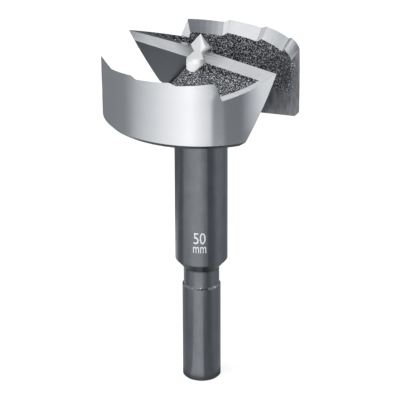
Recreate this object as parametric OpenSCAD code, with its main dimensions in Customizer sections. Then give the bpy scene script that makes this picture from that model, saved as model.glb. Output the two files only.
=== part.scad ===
// Forstner bit with a wave-cut rim, forged and ground in one piece.
// It stands on the end of its shank with the centre point up. The two cutting edges lie
// along X, and everything on the head repeats after half a turn about Z.

/* [Shank] */
// Diameter of the shank that the chuck grips
shank_d = 10; // [8:0.5:12]
// Length of the gripped shank
shank_len = 26.8; // [20:0.1:60]
// Chamfer on the end of the shank
shank_chamfer = 0.4; // [0.1:0.1:1]
// Diameter of the neck groove above the shank
neck_d = 9.3; // [6:0.1:11]
// Length of the neck groove
neck_len = 4.7; // [2:0.1:10]

/* [Collar] */
// Diameter of the thick collar below the head
collar_d = 13.6; // [12:0.1:18]
// Length of the straight part of the collar
collar_len = 39.4; // [20:0.1:80]
// Height of the cone between neck and collar
collar_cone_h = 2.5; // [1:0.1:5]
// Radius of the fillet between collar and head
collar_fillet = 1.2; // [0.4:0.1:3]

/* [Head] */
// Cutting diameter at the rim
head_d = 50; // [40:1:70]
// Height from the underside of the head to the outer end of a cutting edge
head_h = 16.9; // [14:0.1:24]
// Chamfer around the underside
heel_chamfer = 1.1; // [0.3:0.1:2]
// Back taper of the rim, in degrees a side
back_taper = 0.6; // [0:0.1:1.5]

/* [Rim teeth] */
// Thickness of the rim at the foot of its bevel
rim_t = 2; // [1.5:0.1:4]
// Angle of the ground inner bevel from the horizontal
bevel_angle = 56; // [40:1:65]
// Angle from one wave to the next
wave_pitch = 25.2; // [20:0.2:28]
// Depth of a wave
wave_depth = 0.7; // [0.3:0.05:1.2]
// Share of a wave that is its short flank
short_flank = 0.15; // [0.1:0.01:0.4]
// Height of the tooth tips above the cutting corner
tooth_lead = 0.3; // [0:0.05:1]

/* [Lifters] */
// Hook angle of the rake face
hook_angle = 30; // [15:1:35]
// Width of the ground land behind a cutting edge
land_w = 4; // [2:0.1:7]
// Relief angle of the land
land_relief = 16.7; // [8:0.1:20]
// Height of the cutting edge at the axis above its outer end
edge_rise = 0.6; // [0:0.1:1.5]
// Distance behind the cutting edge at which the rim steps up to its first tooth
gullet_back = 14.6; // [10:0.1:16]
// Slope of that step
step_angle = 72; // [40:1:80]

/* [Chip throats] */
// Distance from the axis to the far wall, level with the cutting corner
wall_offset = 9.7; // [7:0.1:13]
// Direction of the far wall, turned from its cutting edge
wall_heading = 25; // [10:1:35]
// Lean of the far wall towards the rake face
wall_lean = 13.4; // [0:0.1:15]
// Depth of the chip ramp at the axis
ramp_depth = 3.4; // [2:0.1:5]
// Direction in which the chip ramp falls, turned from its cutting edge
ramp_heading = 30; // [15:1:40]
// Slope of the chip ramp
ramp_angle = 45; // [40:1:55]
// Direction of the web face that parts a throat from the other lifter
web_heading = -42; // [-60:1:-30]
// Distance of the web face behind the axis
web_offset = 0.5; // [0:0.1:1.5]

/* [Pockets] */
// Depth of the forged floor at the back of the land
floor_depth = 3.5; // [2.5:0.1:6]
// Slope of the floor away from the land
floor_fall = 26.5; // [10:0.5:28]
// Slope of the floor along the land, down towards the far throat
floor_tilt = 4.6; // [0:0.1:6]
// Draft of the pocket's outer wall below the bevel
pocket_draft = 8; // [0:1:12]

/* [Centre point] */
// Diameter of the boss under the centre point
boss_d = 7.3; // [5:0.1:10]
// Depth below the cutting corner at which the boss flares into its forged root
root_depth = 4.4; // [3:0.1:6]
// Flare of that root from the axis
root_flare = 40; // [10:1:45]
// Height of the tip above the cutting corner
point_h = 4.7; // [2:0.1:8]
// Depth of the waist below the tip
waist_drop = 4.5; // [3:0.1:6]
// Diameter of the waist between point and boss
waist_d = 3.3; // [2.4:0.1:5]
// Flare of the point above its waist, from the axis
waist_flare = 40; // [30:1:60]
// Flare of the boss's shoulder below the waist, from the axis
shoulder_flare = 42; // [30:1:60]
// Angle of the point's two rake faces from the axis
point_rake = 15; // [10:1:25]
// Length of a rake face, from the tip down to the ledge on the boss
point_rake_len = 6.7; // [5:0.1:8]
// Angle of the point's two flanks from the axis
flank_angle = 19; // [12:1:30]
// Length of a flank, from the tip down to its ledge at the waist
flank_len = 4.9; // [3:0.1:6]
// Direction of a flank, turned from the rake face beside it
flank_turn = 43; // [30:1:60]
// Slope of the ledges that the grinding wheel leaves
ledge_slope = 14; // [0:1:20]

/* [Hidden] */
$fn = 96;

fillet_steps = 5;

shank_r = shank_d / 2;
neck_r = neck_d / 2;
collar_r = collar_d / 2;
head_r = head_d / 2;
boss_r = boss_d / 2;
waist_r = waist_d / 2;
pocket_r = head_r - rim_t;

neck_z = shank_len + neck_len;
collar_z = neck_z + collar_cone_h;
head_z = collar_z + collar_len;
cut_z = head_z + head_h;
peak_z = cut_z + tooth_lead;
tip_z = cut_z + point_h;
waist_z = tip_z - waist_drop;
shoulder_z = waist_z - (boss_r - waist_r) / tan(shoulder_flare);

// The blank stands this much proud of the tooth tips before the head is cut
stock = 1;
blank_z = peak_z + stock;
heel_r = head_r - head_h * tan(back_taper);
edge_tilt = asin(edge_rise / head_r);

// Every cutting block reaches past the head on all sides
reach = head_d + head_h;

long_flank = 1 - short_flank;
// The step up to the first tooth meets the tip of that tooth at this distance behind the edge
gullet_drop = gullet_back * tan(land_relief);
first_peak_back = gullet_back + (gullet_drop + tooth_lead) / tan(step_angle);
first_peak = asin(first_peak_back / head_r);

// The rim ends at the far wall of the next throat, and the waves run on past that end
rim_end = 90 - wall_heading + acos(wall_offset / head_r);
wave_count = ceil((rim_end - first_peak) / wave_pitch);
run_out = wave_pitch * short_flank / 2;
long_steps = 6;
short_steps = 2;

// Quarter arc of the fillet, from the collar up and out to the underside of the head
function fillet_points() = [
    for (i = [0 : fillet_steps])
        let (a = 180 - 90 * i / fillet_steps)
            [
                collar_r + collar_fillet * (1 + cos(a)),
                head_z - collar_fillet * (1 - sin(a))
            ]
];

// Turned blank: shank, neck, collar and the plain round of the head
module turned_blank() {
    rotate_extrude()
        polygon(concat(
            [
                [0, 0],
                [shank_r - shank_chamfer, 0],
                [shank_r, shank_chamfer],
                [shank_r, shank_len - (shank_r - neck_r)],
                [neck_r, shank_len],
                [neck_r, neck_z],
                [collar_r, collar_z]
            ],
            fillet_points(),
            [
                [heel_r - heel_chamfer, head_z],
                [heel_r + heel_chamfer * tan(back_taper), head_z + heel_chamfer],
                [head_r, cut_z],
                [head_r, blank_z],
                [0, blank_z]
            ]
        ));
}

// Places its children at the outer end of the cutting edge, with X out along the edge
module at_cutting_edge() {
    translate([head_r, 0, cut_z])
        rotate([0, edge_tilt, 0])
            children();
}

// Everything ahead of the hooked rake face
module ahead_of_rake() {
    at_cutting_edge()
        rotate([-hook_angle, 0, 0])
            translate([-2 * reach, 0, -reach])
                cube([3 * reach, reach, 2 * reach]);
}

// Everything on the near side of the leaning far wall
module short_of_wall() {
    translate([0, 0, cut_z])
        rotate([0, 0, wall_heading])
            translate([0, wall_offset, 0])
                rotate([-wall_lean, 0, 0])
                    translate([-reach, -2 * reach, -2 * reach])
                        cube([2 * reach, 2 * reach, 3 * reach]);
}

// Everything above the chip ramp that closes the throat at the core
module above_ramp() {
    translate([0, 0, cut_z - ramp_depth])
        rotate([0, 0, ramp_heading])
            rotate([0, ramp_angle, 0])
                translate([-reach, -reach, 0])
                    cube([3 * reach, 2 * reach, 2 * reach]);
}

// Everything on the throat's own side of the web
module ahead_of_web() {
    rotate([0, 0, web_heading])
        translate([-reach, -web_offset, 0])
            cube([2 * reach, reach, 2 * blank_z]);
}

// Chip throat ahead of one cutting edge, open at the rim and through the underside
module chip_throat() {
    intersection() {
        ahead_of_rake();
        short_of_wall();
        above_ramp();
        ahead_of_web();
    }
}

// Relief over the land, across the rim behind it and up the step to the first tooth
module land_relief_cut() {
    front = land_w / 2;
    top = gullet_drop + 2 * stock + tooth_lead;
    at_cutting_edge()
        translate([-head_r, 0, 0])
            rotate([90, 0, 90])
                linear_extrude(head_r + stock)
                    polygon([
                        [front, front * tan(land_relief)],
                        [-gullet_back, -gullet_drop],
                        [-gullet_back - top / tan(step_angle), top - gullet_drop],
                        [front, top - gullet_drop]
                    ]);
}

// Forged pocket behind the land, inside the rim
module pocket() {
    depth = head_h + tooth_lead + 2 * stock;
    foot_h = head_h + tooth_lead - rim_t * tan(bevel_angle);
    floor_r = pocket_r - foot_h * tan(pocket_draft);
    intersection() {
        translate([0, 0, head_z])
            cylinder(h = depth, r1 = floor_r, r2 = floor_r + depth * tan(pocket_draft));
        translate([0, -land_w, cut_z - floor_depth])
            rotate([0, -floor_tilt, 0])
                rotate([floor_fall, 0, 0])
                    translate([-reach, -reach, 0])
                        cube([2 * reach, 2 * reach, reach]);
        translate([-reach, -reach - land_w, 0])
            cube([2 * reach, reach, 2 * blank_z]);
    }
}

// Height of the rim's edge at an angle behind the first tooth: it falls slowly along the
// long flank and climbs quickly up the short one
function wave_z(angle) =
    let (t = angle / wave_pitch - floor(max(angle, 0) / wave_pitch))
        peak_z - wave_depth * (t < long_flank ? t / long_flank : (1 - t) / short_flank);

// Angles behind the first tooth at which the bevel is cut, with one ahead of the tooth so
// that its front flank runs out into the step
wave_angles = concat(
    [-run_out],
    [
        for (i = [0 : wave_count - 1])
            for (j = [0 : long_steps + short_steps - 1])
                wave_pitch * (i + (j < long_steps
                    ? long_flank * j / long_steps
                    : long_flank + short_flank * (j - long_steps) / short_steps))
    ],
    [wave_pitch * wave_count]
);

// Section of the bevel cutter at one angle: foot and brim of the bevel, then its top
function wave_section(angle) =
    let (a = -first_peak - angle, foot_r = pocket_r - rim_t, brim_r = head_r + stock)
        [
            [foot_r * cos(a), foot_r * sin(a), wave_z(angle) - (head_r - foot_r) * tan(bevel_angle)],
            [brim_r * cos(a), brim_r * sin(a), wave_z(angle) + (brim_r - head_r) * tan(bevel_angle)],
            [brim_r * cos(a), brim_r * sin(a), blank_z + head_h],
            [foot_r * cos(a), foot_r * sin(a), blank_z + head_h]
        ];

// Cutter for the waves behind one cutting edge, a bevel that follows the wavy edge
module waves() {
    last = len(wave_angles) - 1;
    polyhedron(
        points = [for (angle = wave_angles) each wave_section(angle)],
        faces = concat(
            [[0, 1, 2, 3]],
            [
                for (i = [0 : last - 1])
                    let (p = 4 * i, q = 4 * i + 4)
                        each [
                            [p, q, p + 1],
                            [p + 1, q, q + 1],
                            [p + 1, q + 1, q + 2, p + 2],
                            [p + 2, q + 2, q + 3, p + 3],
                            [p + 3, q + 3, q, p]
                        ]
            ],
            [[4 * last + 3, 4 * last + 2, 4 * last + 1, 4 * last]]
        )
    );
}

// Boss in one profile: forged root, straight side, shoulder, waist, and the flare that
// the point is ground from
module turned_boss() {
    root_h = head_h - root_depth;
    flare_h = waist_drop + stock;
    rotate_extrude()
        polygon([
            [0, head_z],
            [boss_r + root_h * tan(root_flare), head_z],
            [boss_r, head_z + root_h],
            [boss_r, shoulder_z],
            [waist_r, waist_z],
            [waist_r + flare_h * tan(waist_flare), waist_z + flare_h],
            [0, waist_z + flare_h]
        ]);
}

// Everything outside one ground face of the point, down to the ledge that the wheel leaves
module outside_face(angle, length) {
    translate([0, 0, tip_z])
        rotate([-angle, 0, 0])
            translate([0, 0, -length])
                rotate([0, -ledge_slope, 0])
                    translate([-reach, -reach, 0])
                        cube([2 * reach, reach, 2 * reach]);
}

// Spade point with two rake faces and two flanks, ground on the boss
module centre_point() {
    difference() {
        turned_boss();
        for (half = [0, 180])
            rotate([0, 0, half]) {
                outside_face(point_rake, point_rake_len);
                rotate([0, 0, flank_turn])
                    outside_face(flank_angle, flank_len);
            }
    }
}

module forstner_bit() {
    color("silver") {
        difference() {
            turned_blank();
            for (half = [0, 180])
                rotate([0, 0, half]) {
                    chip_throat();
                    pocket();
                    land_relief_cut();
                    waves();
                }
        }
        centre_point();
    }
}

forstner_bit();
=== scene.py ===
# %% [markdown]
# # A forstner bit, from solid to finished tool
# A forstner bit bores clean, flat-bottomed holes. Its toothed rim scores the outline, two lifters shave
# the floor, and the chips leave through the throats ahead of them. It is forged and ground in one piece,
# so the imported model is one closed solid, and only the finish tells one surface from the next. This
# lesson sorts the faces of that solid by the work that made them, roughens the ones that stayed as
# forged, and gives each its own finish.

import math

import bmesh
import bpy
from mathutils import Matrix, Vector, kdtree, noise


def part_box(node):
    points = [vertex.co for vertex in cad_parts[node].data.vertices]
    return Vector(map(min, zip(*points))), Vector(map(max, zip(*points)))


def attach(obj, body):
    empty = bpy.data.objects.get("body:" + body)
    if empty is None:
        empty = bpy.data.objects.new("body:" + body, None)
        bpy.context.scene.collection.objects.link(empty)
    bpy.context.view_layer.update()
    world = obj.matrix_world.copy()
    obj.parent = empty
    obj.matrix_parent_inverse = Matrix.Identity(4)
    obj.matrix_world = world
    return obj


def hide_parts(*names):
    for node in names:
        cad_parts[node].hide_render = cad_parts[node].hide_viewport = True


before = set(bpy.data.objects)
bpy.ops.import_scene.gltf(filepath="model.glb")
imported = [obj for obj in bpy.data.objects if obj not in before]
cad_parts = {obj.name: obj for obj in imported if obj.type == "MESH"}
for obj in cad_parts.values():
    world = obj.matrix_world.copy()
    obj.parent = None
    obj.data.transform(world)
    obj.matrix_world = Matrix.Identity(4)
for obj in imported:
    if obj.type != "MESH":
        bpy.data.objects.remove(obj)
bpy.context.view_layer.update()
MM = 0.001

# %% [markdown]
# ## The camera
# The photograph was taken with a long lens from a little above the head. A camera can be placed by eye,
# but a cutting tool has sharp outlines that show every pixel of error. So the lens, the direction and the
# slight roll come from matching the outline of the solid to the photograph, and are written here as plain
# values.

# %% Camera
PHOTO_SIDE = 400
SENSOR = 36
FOCAL_IN_PIXELS = 2332
CAMERA_AZIMUTH = math.radians(42.4)
CAMERA_ELEVATION = math.radians(22.94)
CAMERA_ROLL = math.radians(-0.2)
CAMERA_DISTANCE = 600 * MM
AIM = Vector((0, 0, 49.86 * MM))
RIGHT_BY_PIXELS = 1.25
NEAREST_SEEN = 10 * MM

TO_CAMERA = Vector((math.sin(CAMERA_AZIMUTH), -math.cos(CAMERA_AZIMUTH), 0))
CAMERA_RIGHT = Vector((math.cos(CAMERA_AZIMUTH), math.sin(CAMERA_AZIMUTH), 0))


def from_aim(turn, elevation, distance):
    """A point seen from the tool at a turn to the right of the camera and an elevation, both in degrees."""
    turn, elevation = math.radians(turn), math.radians(elevation)
    level = math.cos(turn) * TO_CAMERA + math.sin(turn) * CAMERA_RIGHT
    return AIM + distance * (math.cos(elevation) * level + math.sin(elevation) * Vector((0, 0, 1)))


def looking_at_aim(place):
    """The turn of a camera or lamp at this place that points it at the tool."""
    return (place - AIM).to_track_quat("Z", "Y").to_matrix().to_4x4()


def photo_camera():
    data = bpy.data.cameras.new("photo_camera")
    data.sensor_width = SENSOR
    data.lens = FOCAL_IN_PIXELS / PHOTO_SIDE * SENSOR
    data.shift_x = -RIGHT_BY_PIXELS / PHOTO_SIDE
    data.clip_start = NEAREST_SEEN
    camera = bpy.data.objects.new("photo_camera", data)
    place = from_aim(0, math.degrees(CAMERA_ELEVATION), CAMERA_DISTANCE)
    roll = Matrix.Rotation(CAMERA_ROLL, 4, "Z")
    camera.matrix_world = Matrix.Translation(place) @ looking_at_aim(place) @ roll
    bpy.context.scene.collection.objects.link(camera)
    return camera


bpy.context.scene.camera = photo_camera()
print("lens in mm:", round(bpy.context.scene.camera.data.lens, 1))

# %% [markdown]
# ## Floor and surround
# A ground tool is photographed in a white room, because steel has no colour of its own to show: it shows
# the room. The floor is a plain sheet that glows for the camera alone, so that it prints white and keeps
# hardly a trace of the shank's shadow. The world is white wherever the camera or a reflection looks, and
# gives less light than that to the surfaces, so that the lamps still model the shape.

# %% Floor and surround
FLOOR_HALF = 3.0
FLOOR_GREY = (0.3, 0.3, 0.3, 1)
FLOOR_GLOW = (1, 1, 1, 1)
FLOOR_LIFT = 0.82
SHEET_ROUGHNESS = 0.9
AMBIENT = 0.36

scene = bpy.context.scene
scene.view_settings.view_transform = "Standard"


def mesh_object(name, points, faces, material):
    data = bpy.data.meshes.new(name)
    data.from_pydata(points, [], faces)
    data.materials.append(material)
    made = bpy.data.objects.new(name, data)
    scene.collection.objects.link(made)
    return made


def plain_sheet(name, colour):
    sheet = bpy.data.materials.new(name)
    sheet.use_nodes = True
    shader = sheet.node_tree.nodes["Principled BSDF"]
    shader.inputs["Base Color"].default_value = colour
    shader.inputs["Roughness"].default_value = SHEET_ROUGHNESS
    shader.inputs["Specular IOR Level"].default_value = 0
    return sheet, shader


def between(tree, source, low, high, socket):
    """Drives a socket from low to high as the source goes from 0 to 1."""
    spread = tree.nodes.new("ShaderNodeMapRange")
    spread.inputs["To Min"].default_value = low
    spread.inputs["To Max"].default_value = high
    tree.links.new(source, spread.inputs["Value"])
    tree.links.new(spread.outputs["Result"], socket)


def white_floor():
    h = FLOOR_HALF
    corners = [(-h, -h, 0), (h, -h, 0), (h, h, 0), (-h, h, 0)]
    sheet, shader = plain_sheet("floor_sheet", FLOOR_GREY)
    shader.inputs["Emission Color"].default_value = FLOOR_GLOW
    path = sheet.node_tree.nodes.new("ShaderNodeLightPath")
    lift = shader.inputs["Emission Strength"]
    between(sheet.node_tree, path.outputs["Is Camera Ray"], 0, FLOOR_LIFT, lift)
    floor = mesh_object("floor", corners, [(0, 1, 2, 3)], sheet)
    return floor


def white_surround():
    world = bpy.data.worlds.new("white_surround")
    scene.world = world
    world.use_nodes = True
    nodes, links = world.node_tree.nodes, world.node_tree.links
    background = nodes["Background"]
    background.inputs["Color"].default_value = (1, 1, 1, 1)
    path = nodes.new("ShaderNodeLightPath")
    seen = path.outputs["Is Camera Ray"]
    for kind in ("Is Glossy Ray", "Is Transmission Ray"):
        either = nodes.new("ShaderNodeMath")
        either.operation = "MAXIMUM"
        links.new(seen, either.inputs[0])
        links.new(path.outputs[kind], either.inputs[1])
        seen = either.outputs[0]
    between(world.node_tree, seen, AMBIENT, 1, background.inputs["Strength"])


white_floor()
white_surround()
print("floor side in m:", 2 * FLOOR_HALF, "ambient:", AMBIENT)

# %% [markdown]
# ## Lamps and cards
# Ground steel is a mirror, so its tones are the tones of the room. Rim, collar and shank show the same
# upright bands, each squeezed to its own width: light in the middle, a sharp dark edge just to the right
# of it, grey at the far left. Each looks down at its own ring of floor, the shank at the nearest and the
# rim at the farthest, so a ring of graduated card for each can be toned alone. Walls behind the rings, a
# card overhead and one at the back do the same for the bevels and lands that look up. A picture wrapped
# round the tool would do it too, but a card can be read as plain turns and tones. Dark tones are a little
# blue, as shade in a white room is. The cards only show in reflections: they light nothing, cast no
# shadow and stay out of the picture. The lamps do the opposite: they light the dull skin and hide from
# the mirrors.

# %% Lamps
def soft_lamp(name, turn, elevation, distance, width, height, watts):
    data = bpy.data.lights.new(name, "AREA")
    data.shape = "RECTANGLE"
    data.size = width
    data.size_y = height
    data.energy = watts
    lamp = bpy.data.objects.new(name, data)
    place = from_aim(turn, elevation, distance)
    lamp.matrix_world = Matrix.Translation(place) @ looking_at_aim(place)
    lamp.visible_glossy = False
    scene.collection.objects.link(lamp)
    return lamp


key_lamp = soft_lamp("key_lamp", turn=-65, elevation=42, distance=0.9, width=1.2, height=1.0, watts=9.5)
front_lamp = soft_lamp("front_lamp", turn=20, elevation=18, distance=0.9, width=0.6, height=0.4, watts=3.2)
print("lamps:", key_lamp.name, front_lamp.name)

# %% Graduated cards
# Turn to the right of the camera in degrees, and tone: 0 is black, 1 is white, and more outshines white
RIM_TONES = (
    (-180, 0.08), (-150, 0.25), (-95, 0.28), (-50, 0.85), (-12, 1.33), (10, 0.8), (13, 0.22), (45, 0.2),
    (70, 0.9), (95, 0.95), (120, 0.5), (150, 0.3), (180, 0.08),
)
COLLAR_TONES = (
    (-120, 0.4), (-90, 0.35), (-80, 0.85), (-45, 1.2), (-10, 1.2), (24, 0.95), (28, 0.35), (50, 0.35),
    (75, 0.6), (120, 0.35), (180, 0.35),
)
SHANK_TONES = (
    (-180, 0.35), (-120, 0.5), (-54, 0.55), (-47, 1.1), (-20, 1.25), (5, 1.15), (12, 0.45), (50, 0.35),
    (75, 0.5), (180, 0.4),
)
OVERHEAD_TONES = ((-80, 1.15), (-37, 1.2), (-22, 0.65), (5, 0.25), (60, 0.2))
SKY_TONES = ((-152, 0.05), (-140, 0.4), (-133, 1.0), (-125, 0.95), (-115, 0.65), (-100, 0.95), (-80, 1.15))
BACK_TONES = ((100, 0.9), (200, 0.9))
BLADE_TONES = ((-160, 0.95), (-122, 0.95))
DARK_CARD = (0.92, 0.99, 1.09, 1)
LIGHT_CARD = (0.99, 1, 1.01, 1)
CARD_TURN = 2
# Reach and height of each row of a card in millimetres, from its foot to its top
ROUND_SHANK = ((7, 0.5), (66, 0.5))
UNDER_BLADE = ((66, 0.5), (100, 0.5))
ROUND_COLLAR = ((66, 0.5), (165, 0.5))
BACK_LEFT_WALL = ((100, 0.5), (300, 0.5), (300, 300))
FAR_LEFT_WALL = ((100, 0.5), (300, 0.5), (300, 105))
LEFT_WALL = ((165, 0.5), (300, 0.5), (300, 105))
RIGHT_WALL = ((165, 0.5), (300, 0.5), (300, 300))
LEFT_SKY = ((330, 100), (330, 400), (60, 400))
OVERHEAD = ((330, 300), (330, 400), (60, 400))
BEHIND = ((330, 150), (330, 400), (120, 400))
# Name, first and last turn, tones and rows of each card
CARDS = (
    ("shank_card", -180, 180, SHANK_TONES, ROUND_SHANK),
    ("blade_card", -160, -122, BLADE_TONES, UNDER_BLADE),
    ("collar_card", -122, 180, COLLAR_TONES, ROUND_COLLAR),
    ("back_left_card", -180, -152, RIM_TONES, BACK_LEFT_WALL),
    ("far_left_card", -152, -122, RIM_TONES, FAR_LEFT_WALL),
    ("left_card", -122, -56, RIM_TONES, LEFT_WALL),
    ("right_card", -56, 180, RIM_TONES, RIGHT_WALL),
    ("sky_card", -152, -80, SKY_TONES, LEFT_SKY),
    ("overhead_card", -80, 60, OVERHEAD_TONES, OVERHEAD),
    ("back_card", 100, 200, BACK_TONES, BEHIND),
)


def tone_at(tones, turn):
    """The tone at a turn, on a straight line between its two neighbours in the list."""
    for (first, low), (last, high) in zip(tones, tones[1:]):
        if turn <= last:
            return low + (high - low) * (turn - first) / (last - first)
    return tones[-1][1]


def glowing_sheet():
    """A sheet that glows by the tone on its points, white where light and a little blue where dark."""
    sheet, shader = plain_sheet("graduated_card", (0, 0, 0, 1))
    nodes, links = sheet.node_tree.nodes, sheet.node_tree.links
    tone = nodes.new("ShaderNodeAttribute")
    tone.attribute_name = "tone"
    mix = nodes.new("ShaderNodeMix")
    mix.data_type = "RGBA"
    share, dark, light = mix.inputs[0], mix.inputs[6], mix.inputs[7]
    dark.default_value = DARK_CARD
    light.default_value = LIGHT_CARD
    links.new(tone.outputs["Fac"], share)
    links.new(mix.outputs[2], shader.inputs["Emission Color"])
    links.new(tone.outputs["Fac"], shader.inputs["Emission Strength"])
    return sheet


def card(name, first, last, tones, rows, sheet):
    """A card from one turn to another, bent along its rows, that only reflections see."""
    count = round((last - first) / CARD_TURN)
    points, shades, faces = [], [], []
    for i in range(count + 1):
        turn = first + (last - first) * i / count
        level = from_aim(turn, 0, 1) - AIM
        for reach, height in rows:
            points.append(reach * MM * level + Vector((0, 0, height * MM)))
            shades.append(tone_at(tones, turn))
    deep = len(rows)
    for i in range(count):
        for j in range(deep - 1):
            p = deep * i + j
            faces.append((p, p + deep, p + deep + 1, p + 1))
    made = mesh_object(name, points, faces, sheet)
    made.data.attributes.new("tone", "FLOAT", "POINT").data.foreach_set("value", shades)
    made.visible_camera = False
    made.visible_diffuse = False
    made.visible_shadow = False
    return made


card_sheet = glowing_sheet()
for name, first, last, tones, rows in CARDS:
    card(name, first, last, tones, rows, card_sheet)

# %% [markdown]
# ## Finishes
# Eight finishes cover the tool, and a ninth its size mark. The rim is ground round and round, so its
# scratches run level and stretch every reflection up and down: that is what the anisotropy of the shader
# is for. The lands, bevels and rake bands are ground flat, and carry painted shade that darkens them close
# to the boss. The centre point is polished, and the boss under it blasted to a dull white. The turned
# shank, the rake faces and the milled throats are blackened. Painted shade darkens the black on the cone
# below the collar and under the head, and the black has worn to bare specks along two edges of the shank.
# The pockets keep the grainy skin of the forging. Each has its own noise at the scale of its real marks. A
# photograph of each surface would be quicker, but noise keeps its scale on any face and from any side.

# %% Tools for finishes
# Noise hardly leaves the range between these two
CLOUD_LOW = 0.3
CLOUD_HIGH = 0.7
QUARTER_TURN = 0.25


def new_finish(name, colour, roughness, metallic):
    finish = bpy.data.materials.new(name)
    finish.use_nodes = True
    shader = finish.node_tree.nodes["Principled BSDF"]
    shader.inputs["Base Color"].default_value = (*colour, 1)
    shader.inputs["Roughness"].default_value = roughness
    shader.inputs["Metallic"].default_value = metallic
    return finish, shader


def drive(finish, source, socket):
    finish.node_tree.links.new(source, socket)


def add_noise(finish, marks_per_mm, detail=3.0, twist=0.0):
    """Noise with its own number of marks to the millimetre along x, y and z."""
    nodes = finish.node_tree.nodes
    place = nodes.new("ShaderNodeTexCoord")
    stretch = nodes.new("ShaderNodeMapping")
    stretch.inputs["Scale"].default_value = [marks / MM for marks in marks_per_mm]
    marks = nodes.new("ShaderNodeTexNoise")
    marks.inputs["Scale"].default_value = 1
    marks.inputs["Detail"].default_value = detail
    marks.inputs["Distortion"].default_value = twist
    drive(finish, place.outputs["Object"], stretch.inputs["Vector"])
    drive(finish, stretch.outputs["Vector"], marks.inputs["Vector"])
    return marks.outputs["Fac"]


def add_reach(finish):
    """The distance from the tool's axis."""
    nodes = finish.node_tree.nodes
    place = nodes.new("ShaderNodeTexCoord")
    level = nodes.new("ShaderNodeVectorMath")
    level.operation = "MULTIPLY"
    level.inputs[1].default_value = (1, 1, 0)
    length = nodes.new("ShaderNodeVectorMath")
    length.operation = "LENGTH"
    drive(finish, place.outputs["Object"], level.inputs[0])
    drive(finish, level.outputs["Vector"], length.inputs[0])
    return length.outputs["Value"]


def add_height(finish):
    """The height over the end of the shank."""
    nodes = finish.node_tree.nodes
    place = nodes.new("ShaderNodeTexCoord")
    parts = nodes.new("ShaderNodeSeparateXYZ")
    drive(finish, place.outputs["Object"], parts.inputs["Vector"])
    return parts.outputs["Z"]


def add_attribute(finish, name):
    stored = finish.node_tree.nodes.new("ShaderNodeAttribute")
    stored.attribute_name = name
    return stored.outputs["Fac"]


def add_range(finish, source, low, high, first=CLOUD_LOW, last=CLOUD_HIGH):
    """Goes from low to high as the source goes from first to last."""
    spread = finish.node_tree.nodes.new("ShaderNodeMapRange")
    for name, value in (("From Min", first), ("From Max", last), ("To Min", low), ("To Max", high)):
        spread.inputs[name].default_value = value
    drive(finish, source, spread.inputs["Value"])
    return spread.outputs["Result"]


def add_colours(finish, source, stops):
    """Runs through these stops: a place from 0 to 1 and a colour for each."""
    ramp = finish.node_tree.nodes.new("ShaderNodeValToRGB")
    while len(ramp.color_ramp.elements) < len(stops):
        ramp.color_ramp.elements.new(1)
    for element, (place, colour) in zip(ramp.color_ramp.elements, stops):
        element.position = place
        element.color = (*colour, 1)
    drive(finish, source, ramp.inputs["Fac"])
    return ramp.outputs["Color"]


def add_two_tones(finish, source, dull, clean):
    return add_colours(finish, source, ((CLOUD_LOW, dull), (CLOUD_HIGH, clean)))


def add_one_colour(finish, source, colour):
    """The same colour everywhere, as an output that a blend can take."""
    return add_colours(finish, source, ((0, colour), (1, colour)))


def add_blend(finish, share, one, other):
    """Goes from one colour to another as the share goes from 0 to 1."""
    mix = finish.node_tree.nodes.new("ShaderNodeMix")
    mix.data_type = "RGBA"
    share_in, one_in, other_in = mix.inputs[0], mix.inputs[6], mix.inputs[7]
    drive(finish, share, share_in)
    drive(finish, one, one_in)
    drive(finish, other, other_in)
    return mix.outputs[2]


def add_product(finish, one, other):
    product = finish.node_tree.nodes.new("ShaderNodeMath")
    product.operation = "MULTIPLY"
    drive(finish, one, product.inputs[0])
    drive(finish, other, product.inputs[1])
    return product.outputs["Value"]


def add_bump(finish, source, height):
    bump = finish.node_tree.nodes.new("ShaderNodeBump")
    bump.inputs["Strength"].default_value = 1
    bump.inputs["Distance"].default_value = height
    drive(finish, source, bump.inputs["Height"])
    return bump.outputs["Normal"]


def vary_roughness(finish, shader, source, spread):
    low, high = spread
    drive(finish, add_range(finish, source, low, high), shader.inputs["Roughness"])


def stretch_reflections_upright(finish, shader, amount):
    """Reflections run up and down across level scratches, a quarter turn from the way round the axis."""
    around = finish.node_tree.nodes.new("ShaderNodeTangent")
    around.direction_type = "RADIAL"
    around.axis = "Z"
    drive(finish, around.outputs["Tangent"], shader.inputs["Tangent"])
    shader.inputs["Anisotropic"].default_value = amount
    shader.inputs["Anisotropic Rotation"].default_value = QUARTER_TURN


print("noise is given in marks to the millimetre, and one millimetre is", MM, "m")

# %% Ground steel
BLACK = (0, 0, 0)
WHITE = (1, 1, 1)
STEEL = (0.735, 0.74, 0.75)
STEEL_DULL = (0.715, 0.72, 0.732)
FACE_STEEL = (0.7, 0.705, 0.715)
FACE_DULL = (0.64, 0.645, 0.66)
# Painted shade: the ground faces darken towards the boss, down to this grey
FACE_SHADE_AT_BOSS = (0.12, 0.124, 0.13)
# Painted shade: the thin dark line along each ridge and valley between the teeth
SHADE_LINE_GREY = (0.1, 0.104, 0.11)
POINT_STEEL = (0.86, 0.86, 0.86)
POINT_DULL = (0.79, 0.79, 0.8)
BLASTED = (0.97, 0.97, 0.97)
BLASTED_DULL = (0.92, 0.92, 0.92)
# Reach from the axis within which the painted shade near the boss is full, and beyond which it is gone
SHADE_FULL_REACH = 4 * MM
SHADE_GONE_REACH = 10 * MM
SHADE_AT_BOSS_STOPS = ((0.3, FACE_SHADE_AT_BOSS), (0.9, FACE_DULL))
SHADE_LINE_STOPS = ((0.1, BLACK), (0.7, WHITE))
# Marks to the millimetre along x, y and z
LEVEL_SCRATCHES = (0.05, 0.05, 7)
RIM_CLOUD = (0.12, 0.12, 0.3)
FACE_CLOUD = (0.25, 0.25, 0.25)
FINE_CLOUD = (1.5, 1.5, 1.5)
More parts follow.
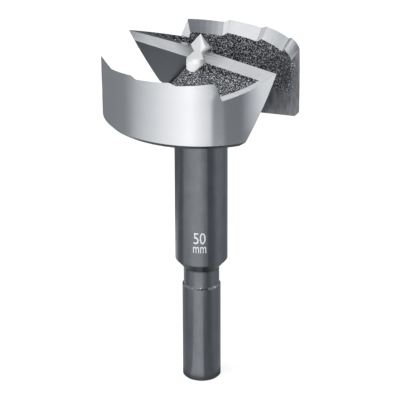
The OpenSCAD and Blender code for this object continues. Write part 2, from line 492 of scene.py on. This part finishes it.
# Least and most roughness
RIM_ROUGHNESS = (0.17, 0.21)
FACE_ROUGHNESS = (0.18, 0.27)
POINT_ROUGHNESS = (0.28, 0.36)
BLASTED_ROUGHNESS = (0.4, 0.5)
# Depth of the scratches
RIM_SCRATCH = 0.0001 * MM
FACE_SCRATCH = 0.001 * MM


def ground_rim_steel():
    finish, shader = new_finish("ground_rim_steel", STEEL, roughness=0.19, metallic=1)
    stretch_reflections_upright(finish, shader, amount=0.95)
    scratches = add_noise(finish, LEVEL_SCRATCHES)
    cloud = add_noise(finish, RIM_CLOUD)
    drive(finish, add_two_tones(finish, cloud, STEEL_DULL, STEEL), shader.inputs["Base Color"])
    vary_roughness(finish, shader, scratches, RIM_ROUGHNESS)
    drive(finish, add_bump(finish, scratches, RIM_SCRATCH), shader.inputs["Normal"])
    return finish


def ground_face_steel():
    finish, shader = new_finish("ground_face_steel", FACE_STEEL, roughness=0.22, metallic=1)
    scratches = add_noise(finish, LEVEL_SCRATCHES)
    cloud = add_noise(finish, FACE_CLOUD)
    clean = add_two_tones(finish, cloud, FACE_DULL, FACE_STEEL)
    # Painted shade near the boss: dull steel darkened towards near black by the scratch noise, fading out
    # with reach
    dull = add_colours(finish, scratches, SHADE_AT_BOSS_STOPS)
    share = add_range(finish, add_reach(finish), 0, 1, SHADE_FULL_REACH, SHADE_GONE_REACH)
    ground = add_blend(finish, share, dull, clean)
    # Painted shade along each ridge and valley between the teeth
    on_shade_line = add_colours(finish, add_attribute(finish, "tooth_shade_line"), SHADE_LINE_STOPS)
    line = add_one_colour(finish, cloud, SHADE_LINE_GREY)
    drive(finish, add_blend(finish, on_shade_line, ground, line), shader.inputs["Base Color"])
    vary_roughness(finish, shader, scratches, FACE_ROUGHNESS)
    drive(finish, add_bump(finish, scratches, FACE_SCRATCH), shader.inputs["Normal"])
    return finish


def polished_point_steel():
    finish, shader = new_finish("polished_point_steel", POINT_STEEL, roughness=0.32, metallic=0.85)
    cloud = add_noise(finish, FINE_CLOUD)
    drive(finish, add_two_tones(finish, cloud, POINT_DULL, POINT_STEEL), shader.inputs["Base Color"])
    vary_roughness(finish, shader, cloud, POINT_ROUGHNESS)
    return finish


def blasted_steel():
    finish, shader = new_finish("blasted_steel", BLASTED, roughness=0.45, metallic=0)
    cloud = add_noise(finish, FINE_CLOUD)
    drive(finish, add_two_tones(finish, cloud, BLASTED_DULL, BLASTED), shader.inputs["Base Color"])
    vary_roughness(finish, shader, cloud, BLASTED_ROUGHNESS)
    return finish


rim_finish = ground_rim_steel()
face_finish = ground_face_steel()
point_finish = polished_point_steel()
boss_finish = blasted_steel()
print("ground:", rim_finish.name, face_finish.name, point_finish.name, boss_finish.name)

# %% Forged skin
SCALE_PIT = (0.012, 0.013, 0.015)
SCALE_MID = (0.072, 0.077, 0.084)
SCALE_RIDGE = (0.95, 0.97, 1.0)
SCALE_STOPS = ((0.42, SCALE_PIT), (0.53, SCALE_MID), (0.64, SCALE_RIDGE))
SCALE_GRAINS = (3.4, 3.4, 3.4)
SCALE_DETAIL = 5
SCALE_TWIST = 0.7
SCALE_HEIGHT = 0.09 * MM
# In the pits and on the ridges
SCALE_ROUGHNESS = (0.6, 0.38)


def forged_scale():
    finish, shader = new_finish("forged_scale", SCALE_MID, roughness=0.5, metallic=0.75)
    grains = add_noise(finish, SCALE_GRAINS, SCALE_DETAIL, SCALE_TWIST)
    drive(finish, add_colours(finish, grains, SCALE_STOPS), shader.inputs["Base Color"])
    vary_roughness(finish, shader, grains, SCALE_ROUGHNESS)
    drive(finish, add_bump(finish, grains, SCALE_HEIGHT), shader.inputs["Normal"])
    return finish


forged_finish = forged_scale()
print("forged:", forged_finish.name)

# %% Blackened steel
BLACKENED = (0.19, 0.2, 0.215)
BLACKENED_DARK = (0.16, 0.168, 0.182)
RAKE_BLACK = (0.092, 0.1, 0.113)
RAKE_DARK = (0.072, 0.079, 0.09)
MILLED_STREAK = (0.38, 0.39, 0.41)
MILLED_DARK = (0.23, 0.237, 0.25)
MILLED_STOPS = ((0.3, MILLED_DARK), (0.75, MILLED_STREAK))
# Painted shade: the black darkened to this on the cone below the collar and under the head
BLACKENED_SHADE = (0.075, 0.079, 0.087)
BARE = (0.62, 0.64, 0.67)
MOSTLY = (0.8, 0.8, 0.8)
# Height in millimetres, up to the top of the turned work, and black for none or white for all
TURNED_TOP = 75
# Where the painted shade lies: the cone below the collar, and the top of the collar under the head
PAINTED_SHADE_HEIGHTS = ((31.0, BLACK), (31.6, MOSTLY), (33.8, MOSTLY), (34.3, BLACK), (70.8, BLACK), (72.8, WHITE))
WORN_EDGES = (
    (0, BLACK), (0.15, WHITE), (0.4, WHITE), (0.6, BLACK),
    (26.3, BLACK), (26.6, WHITE), (26.9, WHITE), (27.1, BLACK),
)
# Marks to the millimetre along x, y and z
TURNED_MARKS = (0.1, 0.1, 5)
TURNED_CLOUD = (0.35, 0.35, 0.2)
WORN_SPECKS = (1.8, 1.8, 4)
RAKE_CLOUD = (0.4, 0.4, 0.4)
UPRIGHT_STREAKS = (1.6, 1.6, 0.12)
# Noise from which a speck starts, and from which it is bare
SPECK_LOW = 0.56
SPECK_HIGH = 0.62
# Least and most roughness
TURNED_ROUGHNESS = (0.22, 0.27)
RAKE_ROUGHNESS = (0.26, 0.34)
MILLED_ROUGHNESS = (0.36, 0.5)
TURNED_SCRATCH = 0.0005 * MM


def add_height_share(finish, stops):
    """Follows these stops up the tool."""
    height = add_range(finish, add_height(finish), 0, 1, 0, TURNED_TOP * MM)
    return add_colours(finish, height, [(z / TURNED_TOP, share) for z, share in stops])


def blackened_turned_steel():
    """Painted shade darkens the black on the cone below the collar and under the head; the black has worn
    off in specks along two edges.
    """
    finish, shader = new_finish("blackened_turned_steel", BLACKENED, roughness=0.25, metallic=1)
    stretch_reflections_upright(finish, shader, amount=0.9)
    marks = add_noise(finish, TURNED_MARKS)
    cloud = add_noise(finish, TURNED_CLOUD)
    plain = add_two_tones(finish, cloud, BLACKENED_DARK, BLACKENED)
    # Painted shade on the cone below the collar and under the head
    painted_shade = add_one_colour(finish, cloud, BLACKENED_SHADE)
    black = add_blend(finish, add_height_share(finish, PAINTED_SHADE_HEIGHTS), plain, painted_shade)
    specks = add_range(finish, add_noise(finish, WORN_SPECKS), 0, 1, SPECK_LOW, SPECK_HIGH)
    worn = add_product(finish, add_height_share(finish, WORN_EDGES), specks)
    bare = add_one_colour(finish, cloud, BARE)
    drive(finish, add_blend(finish, worn, black, bare), shader.inputs["Base Color"])
    vary_roughness(finish, shader, marks, TURNED_ROUGHNESS)
    drive(finish, add_bump(finish, marks, TURNED_SCRATCH), shader.inputs["Normal"])
    return finish


def blackened_rake_steel():
    finish, shader = new_finish("blackened_rake_steel", RAKE_BLACK, roughness=0.3, metallic=1)
    cloud = add_noise(finish, RAKE_CLOUD)
    drive(finish, add_two_tones(finish, cloud, RAKE_DARK, RAKE_BLACK), shader.inputs["Base Color"])
    vary_roughness(finish, shader, cloud, RAKE_ROUGHNESS)
    return finish


def blackened_milled_steel():
    """The cutter left upright streaks, and the forged grain runs out into them a little way."""
    finish, shader = new_finish("blackened_milled_steel", MILLED_STREAK, roughness=0.42, metallic=1)
    streaks = add_noise(finish, UPRIGHT_STREAKS)
    grains = add_noise(finish, SCALE_GRAINS, SCALE_DETAIL, SCALE_TWIST)
    grain_left = add_attribute(finish, "grain")
    milled = add_colours(finish, streaks, MILLED_STOPS)
    forged = add_colours(finish, grains, SCALE_STOPS)
    drive(finish, add_blend(finish, grain_left, milled, forged), shader.inputs["Base Color"])
    vary_roughness(finish, shader, streaks, MILLED_ROUGHNESS)
    rough = add_product(finish, grains, grain_left)
    drive(finish, add_bump(finish, rough, SCALE_HEIGHT), shader.inputs["Normal"])
    return finish


turned_finish = blackened_turned_steel()
rake_finish = blackened_rake_steel()
milled_finish = blackened_milled_steel()
print("blackened:", turned_finish.name, rake_finish.name, milled_finish.name)

# %% [markdown]
# ## One mesh, sorted by the work that made it
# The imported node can't be changed, so the finished tool is a copy of it that stands in its place. Each
# face knows which way it looks, and each cut on the head has its own direction: the hooked rake face
# leans over, the land falls away behind the edge, the far wall of a throat leans back. So a face is
# sorted by comparing its normal with those directions, after turning the second half of the head onto the
# first.

# %% Copy the solid
bit_low, bit_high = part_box("forstner_bit")
HEAD_R = (bit_high.x - bit_low.x) / 2
HEEL_Z = 73.4 * MM
HEEL_TOP_Z = 74.5 * MM
ROOT_Z = 85.9 * MM
SHOULDER_Z = 88.28 * MM
BOSS_R = 3.65 * MM
BEVEL_INNER_R = 20.6 * MM
SAME_POINT = 0.0002 * MM
CLOSE = 0.02 * MM

RIM, FACE, POINT, BOSS, TURNED, RAKE, MILLED, FORGED = range(8)
FINISHES = [
    rim_finish, face_finish, point_finish, boss_finish,
    turned_finish, rake_finish, milled_finish, forged_finish,
]


def copy_of_solid():
    shape = bmesh.new()
    shape.from_mesh(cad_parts["forstner_bit"].data)
    bmesh.ops.remove_doubles(shape, verts=shape.verts, dist=SAME_POINT)
    shape.normal_update()
    return shape


bit = copy_of_solid()
print("copied faces:", len(bit.faces), "open edges:", sum(not e.is_manifold for e in bit.edges))

# %% Sort the faces
HOOK = math.radians(30)
RELIEF = math.radians(16.7)
STEP = math.radians(72)
WALL_TURN = math.radians(25)
WALL_LEAN = math.radians(13.4)
SAME_WAY = 0.995
# How far a face looks up, or out from the axis: 1 for straight, below 0 for down or in
LOOKS_DOWN = -0.6
LOOKS_OUT = 0.5
LOOKS_STRAIGHT_OUT = 0.97
LOOKS_IN = -0.5
BEVEL_UP = (0.3, 0.8)
RIM_INNER_R = 0.95 * HEAD_R

RAKE_WAY = Vector((0, math.cos(HOOK), -math.sin(HOOK)))
LAND_WAY = Vector((0, -math.sin(RELIEF), math.cos(RELIEF)))
STEP_WAY = Vector((0, math.sin(STEP), math.cos(STEP)))
WALL_WAY = Matrix.Rotation(WALL_TURN, 3, "Z") @ Vector((0, -math.cos(WALL_LEAN), math.sin(WALL_LEAN)))
HALF_TURN = Matrix.Rotation(math.pi, 3, "Z")


def looks(face, way):
    return max(face.normal.dot(way), face.normal.dot(HALF_TURN @ way)) > SAME_WAY


def reach_of(point):
    return math.hypot(point.x, point.y)


def work_on(face):
    """The work that made this face, as the number of its finish."""
    middle = face.calc_center_median()
    outward = Vector((middle.x, middle.y, 0)).normalized()
    out = face.normal.dot(outward)
    on_heel = middle.z < HEEL_TOP_Z and out > LOOKS_OUT
    if middle.z < HEEL_Z + CLOSE or face.normal.z < LOOKS_DOWN or on_heel:
        return TURNED
    if middle.z > ROOT_Z and max(reach_of(v.co) for v in face.verts) < BOSS_R + CLOSE:
        return POINT if middle.z > SHOULDER_Z else BOSS
    if out > LOOKS_STRAIGHT_OUT and reach_of(middle) > RIM_INNER_R:
        return RIM
    if looks(face, RAKE_WAY):
        return RAKE
    if looks(face, LAND_WAY) or looks(face, STEP_WAY):
        return FACE
    least_up, most_up = BEVEL_UP
    if reach_of(middle) > BEVEL_INNER_R and out < LOOKS_IN and least_up < face.normal.z < most_up:
        return FACE
    if looks(face, WALL_WAY):
        return MILLED
    return FORGED


for face in bit.faces:
    face.material_index = work_on(face)
WORK_NAMES = ("rim", "face", "point", "boss", "turned", "rake", "milled", "forged")
for number, name in enumerate(WORK_NAMES):
    area = sum(f.calc_area() for f in bit.faces if f.material_index == number)
    print(name, "mm2:", round(area / MM**2, 1))

# %% [markdown]
# ## The ground band on each rake face
# The wheel that sharpens the tool only reaches a few millimetres down the rake face, and leaves a bright
# band along the cutting edge over the blackened rest. Painting that border would blur it, so the rake
# faces are cut along it, and each side gets its finish.

# %% Cut the ground bands
EDGE_Z = 90.3 * MM
BAND_OUTER = 3.7 * MM
BAND_INNER = 4.6 * MM


def cut_ground_band(shape, turn):
    down = Vector((0, -math.sin(HOOK), -math.cos(HOOK)))
    outer = turn @ (Vector((HEAD_R, 0, EDGE_Z)) + BAND_OUTER * down)
    inner = turn @ (Vector((0, 0, EDGE_Z)) + BAND_INNER * down)
    rake_way = turn @ RAKE_WAY
    below = (outer - inner).cross(rake_way).normalized()
    if below.z > 0:
        below = -below
    faces = [f for f in shape.faces if f.material_index == RAKE and f.normal.dot(rake_way) > SAME_WAY]
    around = list({part for f in faces for part in (*f.verts, *f.edges)}) + faces
    bmesh.ops.bisect_plane(shape, geom=around, dist=SAME_POINT, plane_co=outer, plane_no=below)
    for face in shape.faces:
        if face.material_index == RAKE and face.normal.dot(rake_way) > SAME_WAY:
            beyond = (face.calc_center_median() - outer).dot(below) > 0
            if not beyond:
                face.material_index = FACE


for turn in (Matrix.Identity(3), HALF_TURN):
    cut_ground_band(bit, turn)
print("faces after the grind line:", len(bit.faces))

# %% [markdown]
# ## The forged skin and the fine marks
# The pockets and the chip ramps were never machined. Their skin is a crust of grains about half a
# millimetre across, deep enough to break the edge of the land into a ragged line. Bump alone would leave
# that edge straight, so the forged faces are split finely and their points are really moved. A point on
# the border only moves along its ground neighbour, which stays flat. A thin dark line of painted shade
# runs along each ridge and valley where one tooth runs into the next. Those lines are marked on the points
# of the mesh, and the faces beside them are split in the same go, so that the lines stay thin.

# %% Mark the painted shade lines between the teeth
CRISP_GROUND = math.radians(10)
ON_LINE = 0.99


def between_teeth(edge):
    """Whether two ground faces of the rim meet in a ridge or a valley here."""
    if len(edge.link_faces) != 2 or any(f.material_index != FACE for f in edge.link_faces):
        return False
    on_rim = min(reach_of(v.co) for v in edge.verts) > BEVEL_INNER_R
    return on_rim and edge.calc_face_angle(0) > CRISP_GROUND


def mark_tooth_lines(shape):
    tooth_shade_line = shape.verts.layers.float.new("tooth_shade_line")
    lines = [e for e in shape.edges if between_teeth(e)]
    for edge in lines:
        for vert in edge.verts:
            vert[tooth_shade_line] = 1
    return len(lines)


print("edges between teeth:", mark_tooth_lines(bit))

# %% Split the faces that need fine points
LONGEST_EDGE = {FORGED: 0.45 * MM, MILLED: 0.8 * MM, POINT: 0.35 * MM}
TOOTH_EDGE = 0.35 * MM
MOST_ROUNDS = 40


def split_long_edges(shape, longest_on):
    """Halves the longest edge of each triangle, in rounds, until none is longer than its work allows."""
    for _ in range(MOST_ROUNDS):
        many_sided = [f for f in shape.faces if len(f.verts) > 3]
        bmesh.ops.triangulate(shape, faces=many_sided)
        halved = set()
        for face in shape.faces:
            edge = max(face.edges, key=bmesh.types.BMEdge.calc_length)
            if edge.calc_length() > longest_on(face):
                halved.add(edge)
        if not halved:
            break
        bmesh.ops.subdivide_edges(shape, edges=list(halved), cuts=1, use_single_edge=True)


def longest_edge_on(face):
    tooth_shade_line = bit.verts.layers.float["tooth_shade_line"]
    if face.material_index == FACE and any(v[tooth_shade_line] > ON_LINE for v in face.verts):
        return TOOTH_EDGE
    return LONGEST_EDGE.get(face.material_index, math.inf)


def keep_lines_thin(shape):
    """A point that splitting put beside a line took half its mark, and loses it again."""
    tooth_shade_line = shape.verts.layers.float["tooth_shade_line"]
    for vert in shape.verts:
        vert[tooth_shade_line] = float(vert[tooth_shade_line] > ON_LINE)


split_long_edges(bit, longest_edge_on)
keep_lines_thin(bit)
print("faces after splitting:", len(bit.faces))

# %% Roughen the forged faces
GRAIN = 0.45 * MM
GRAIN_HEIGHT = 0.08 * MM


def ground_normals(vert):
    """The different directions of the faces at a point that the forging left and a tool cut later."""
    normals = []
    for face in vert.link_faces:
        if face.material_index != FORGED and all(face.normal.dot(n) < SAME_WAY for n in normals):
            normals.append(face.normal.copy())
    return normals


def roughen(shape):
    moves = []
    for vert in shape.verts:
        forged = [f for f in vert.link_faces if f.material_index == FORGED]
        kept = ground_normals(vert)
        if not forged or len(kept) > 1:
            continue
        way = sum((f.normal * f.calc_area() for f in forged), Vector()).normalized()
        move = noise.noise(vert.co / GRAIN) * GRAIN_HEIGHT * way
        for normal in kept:
            move -= move.dot(normal) * normal
        moves.append((vert, move))
    for vert, move in moves:
        vert.co += move
    return len(moves)


print("points moved:", roughen(bit))

# %% [markdown]
# ## Where one surface runs into the next
# The milling cutter left the throats through skin that was still rough, so the grain fades out into the
# milled walls over a few millimetres instead of ending at a line. How much grain is left is stored on the
# points of the mesh, and the finish blends by it. The two leaves of the centre point were ground by hand
# and bulge a little, which is what gives them a light and a dark side.

# %% Let the grain run out into the milled walls
GRAIN_RUN_OUT = 3 * MM


def distance_from(points):
    """A tool that measures how far any place is from the nearest of these points."""
    tree = kdtree.KDTree(len(points))
    for i, vert in enumerate(points):
        tree.insert(vert.co, i)
    tree.balance()
    return lambda place: tree.find(place)[2]


def mark_grain(shape):
    """Stores how much forged grain each point keeps: all beside the forged skin, none beyond the run-out."""
    grain = shape.verts.layers.float.new("grain")
    border = [v for v in shape.verts if {MILLED, FORGED} <= {f.material_index for f in v.link_faces}]
    distance = distance_from(border)
    for vert in shape.verts:
        vert[grain] = max(0, 1 - distance(vert.co) / GRAIN_RUN_OUT) ** 2
    return len(border)


print("border points:", mark_grain(bit))

# %% Swell the leaves of the point
LEAF_TURN = math.radians(43)
LEAF_LEAN = math.radians(19)
LEAF_WAY = Matrix.Rotation(LEAF_TURN, 3, "Z") @ Vector((0, -math.cos(LEAF_LEAN), math.sin(LEAF_LEAN)))
LEAF_SWELL = 0.19 * MM


def swell_leaf(shape, way):
    """Pushes the middle of a leaf out a little and leaves its edges where they are."""
    leaf = {f for f in shape.faces if f.material_index == POINT and f.normal.dot(way) > SAME_WAY}
    points = {v for f in leaf for v in f.verts}
    edge_points = [v for v in points if not leaf.issuperset(v.link_faces)]
    distance = distance_from(edge_points)
    depths = {v: distance(v.co) for v in points}
    deepest = max(depths.values())
    for vert, depth in depths.items():
        vert.co += LEAF_SWELL * (1 - (1 - depth / deepest) ** 2) * way
    return len(points)


print("leaf points:", [swell_leaf(bit, way) for way in (LEAF_WAY, HALF_TURN @ LEAF_WAY)])

# %% [markdown]
# ## Crisp edges
# Curved faces are shaded smooth, but every ground edge has to stay crisp. An edge is marked sharp where
# two finishes meet or where two machined faces meet at more than a slight angle. The grains stay smooth.

# %% Finish the mesh
CRISP = math.radians(24)


def on_boss(edge):
    """Whether an edge runs level round the boss, where its shoulder rolls over."""
    one, other = (v.co for v in edge.verts)
    round_boss = max(abs(reach_of(p) - BOSS_R) for p in (one, other)) < CLOSE
    return round_boss and abs(one.z - other.z) < CLOSE


def mark_edges(shape):
    shape.normal_update()
    for face in shape.faces:
        face.smooth = True
    for edge in shape.edges:
        if len(edge.link_faces) != 2:
            continue
        one, other = (f.material_index for f in edge.link_faces)
        soft = one == FORGED or on_boss(edge)
        crisp = CRISP_GROUND if one == FACE else CRISP
        edge.smooth = one == other and (soft or edge.calc_face_angle(0) < crisp)


def finished_bit(shape):
    bmesh.ops.triangulate(shape, faces=shape.faces[:])
    mark_edges(shape)
    data = bpy.data.meshes.new("dressed_bit")
    shape.to_mesh(data)
    for finish in FINISHES:
        data.materials.append(finish)
    made = bpy.data.objects.new("dressed_bit", data)
    scene.collection.objects.link(made)
    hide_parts("forstner_bit")
    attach(made, "root")
    return made


dressed_bit = finished_bit(bit)
bit.free()
print("triangles:", len(dressed_bit.data.polygons))

# %% [markdown]
# ## The size mark
# The collar carries its cutting size in light etched figures. A flat text object wouldn't follow the
# round collar, so the text is turned into a mesh, split finely, and each point is laid round the axis.

# %% Size mark
COLLAR_R = 6.8 * MM
MARK_DEPTH = 0.03 * MM
MARK_PROUD = 0.015 * MM
MARK_TURN = -4.0
MARK_EDGE = 0.35 * MM
ETCHED = (0.96, 0.97, 0.98)
ETCHED_DULL = (0.72, 0.73, 0.74)
ETCHED_SPECKLE = (6, 6, 6)
SAME_TEXT_POINT = 1e-5
MARK_LINES = (("50", 3.1 * MM, 40.4 * MM, 43.5 * MM), ("mm", 3.4 * MM, 37.9 * MM, 39.65 * MM))


def etched_grey():
    finish, shader = new_finish("etched_grey", ETCHED, roughness=0.55, metallic=0.4)
    speckle = add_noise(finish, ETCHED_SPECKLE)
    drive(finish, add_two_tones(finish, speckle, ETCHED_DULL, ETCHED), shader.inputs["Base Color"])
    return finish


def flat_line(words):
    curve = bpy.data.curves.new("line", "FONT")
    curve.body = words
    text = bpy.data.objects.new("line", curve)
    scene.collection.objects.link(text)
    bpy.context.view_layer.update()
    flat = bpy.data.meshes.new_from_object(text)
    bpy.data.objects.remove(text)
    shape = bmesh.new()
    shape.from_mesh(flat)
    bpy.data.meshes.remove(flat)
    bmesh.ops.remove_doubles(shape, verts=shape.verts, dist=SAME_TEXT_POINT)
    return shape


def fit_line(shape, width, low, high):
    """Scales a flat line to its width and its lowest and highest point."""
    xs = [v.co.x for v in shape.verts]
    ys = [v.co.y for v in shape.verts]
    for v in shape.verts:
        v.co.x = width * ((v.co.x - min(xs)) / (max(xs) - min(xs)) - 0.5)
        v.co.y = low + (high - low) * (v.co.y - min(ys)) / (max(ys) - min(ys))


def lay_round_collar(shape):
    start = math.radians(MARK_TURN)
    for v in shape.verts:
        turn = start + v.co.x / COLLAR_R
        level = math.cos(turn) * TO_CAMERA + math.sin(turn) * CAMERA_RIGHT
        v.co = (COLLAR_R + MARK_PROUD + v.co.z) * level + Vector((0, 0, v.co.y))


def size_mark():
    whole = bpy.data.meshes.new("size_mark")
    mark = bmesh.new()
    for words, width, low, high in MARK_LINES:
        line = flat_line(words)
        fit_line(line, width, low, high)
        split_long_edges(line, lambda face: MARK_EDGE)
        top = bmesh.ops.extrude_face_region(line, geom=line.faces[:])["geom"]
        for part in top:
            if isinstance(part, bmesh.types.BMVert):
                part.co.z -= MARK_DEPTH
        lay_round_collar(line)
        bmesh.ops.recalc_face_normals(line, faces=line.faces[:])
        line.to_mesh(whole)
        mark.from_mesh(whole)
        line.free()
    mark.to_mesh(whole)
    mark.free()
    whole.materials.append(etched_grey())
    made = bpy.data.objects.new("size_mark", whole)
    scene.collection.objects.link(made)
    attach(made, "root")
    return made


mark_piece = size_mark()
print("mark triangles:", len(mark_piece.data.polygons))
